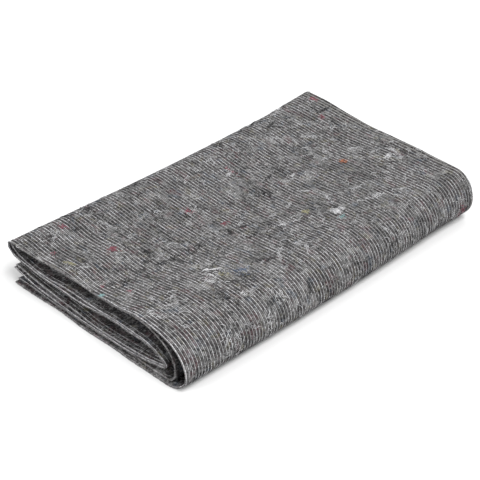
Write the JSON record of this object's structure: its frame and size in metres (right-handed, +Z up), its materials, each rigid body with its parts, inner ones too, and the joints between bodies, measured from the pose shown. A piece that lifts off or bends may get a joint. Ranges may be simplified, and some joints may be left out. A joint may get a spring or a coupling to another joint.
{
  "type": "folded moving blanket",
  "caption": "Furniture moving blanket of grey stitch-bonded recycled felt, folded flat with a rounded long fold and open cut ends.",
  "frame": {"origin": "under the middle of the folded blanket's box, on the floor it lies on", "axes": "+Z up through the layers, +Y along the folded length from the cut ends to the half-fold crease, +X towards the thick rounded fold"},
  "size_m": [0.4536, 0.7606, 0.1068],
  "materials": {
    "felt": "matte stitch-bonded felt"
  },
  "bodies": {
    "root": {"blanket": "felt"}
  },
  "joints": []
}
